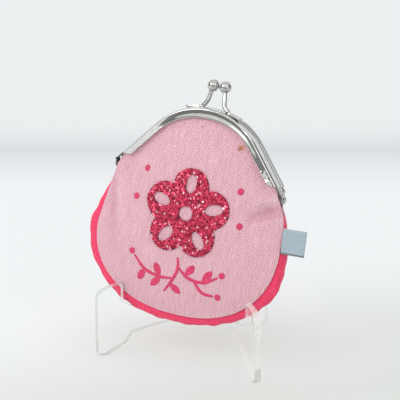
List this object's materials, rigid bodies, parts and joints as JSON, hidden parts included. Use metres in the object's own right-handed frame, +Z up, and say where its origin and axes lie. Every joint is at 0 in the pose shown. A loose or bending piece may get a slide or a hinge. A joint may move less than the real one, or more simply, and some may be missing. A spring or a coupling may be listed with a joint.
{
  "type": "clasp coin purse on display stand",
  "caption": "Round cloth coin purse with a plated kiss-lock frame, glitter cloth applique and side tag, leaning on a clear plate easel.",
  "frame": {"origin": "middle of the footprint, on the surface that the stand rests on", "axes": "+Z up, +X to the right of someone who faces the purse, +Y to its back"},
  "size_m": [0.1124, 0.0726, 0.1323],
  "materials": {
    "canvas": "pale pink woven cotton canvas with a coarse two-tone weave",
    "band": "hot pink fine ribbed cotton",
    "glitter": "hot pink sequin cloth",
    "nickel": "bright nickel plate with fine scratches",
    "ribbon": "pale blue grey satin ribbon",
    "acrylic": "clear polished acrylic"
  },
  "bodies": {
    "root": {"front_panel": "canvas", "back_panel": "canvas", "gusset": "band", "front_frame": "nickel", "back_frame": "nickel", "hinge_rivet_left": "nickel", "hinge_rivet_right": "nickel", "applique": "glitter", "side_tag": "ribbon", "stand_left": "acrylic", "stand_right": "acrylic"}
  },
  "joints": []
}
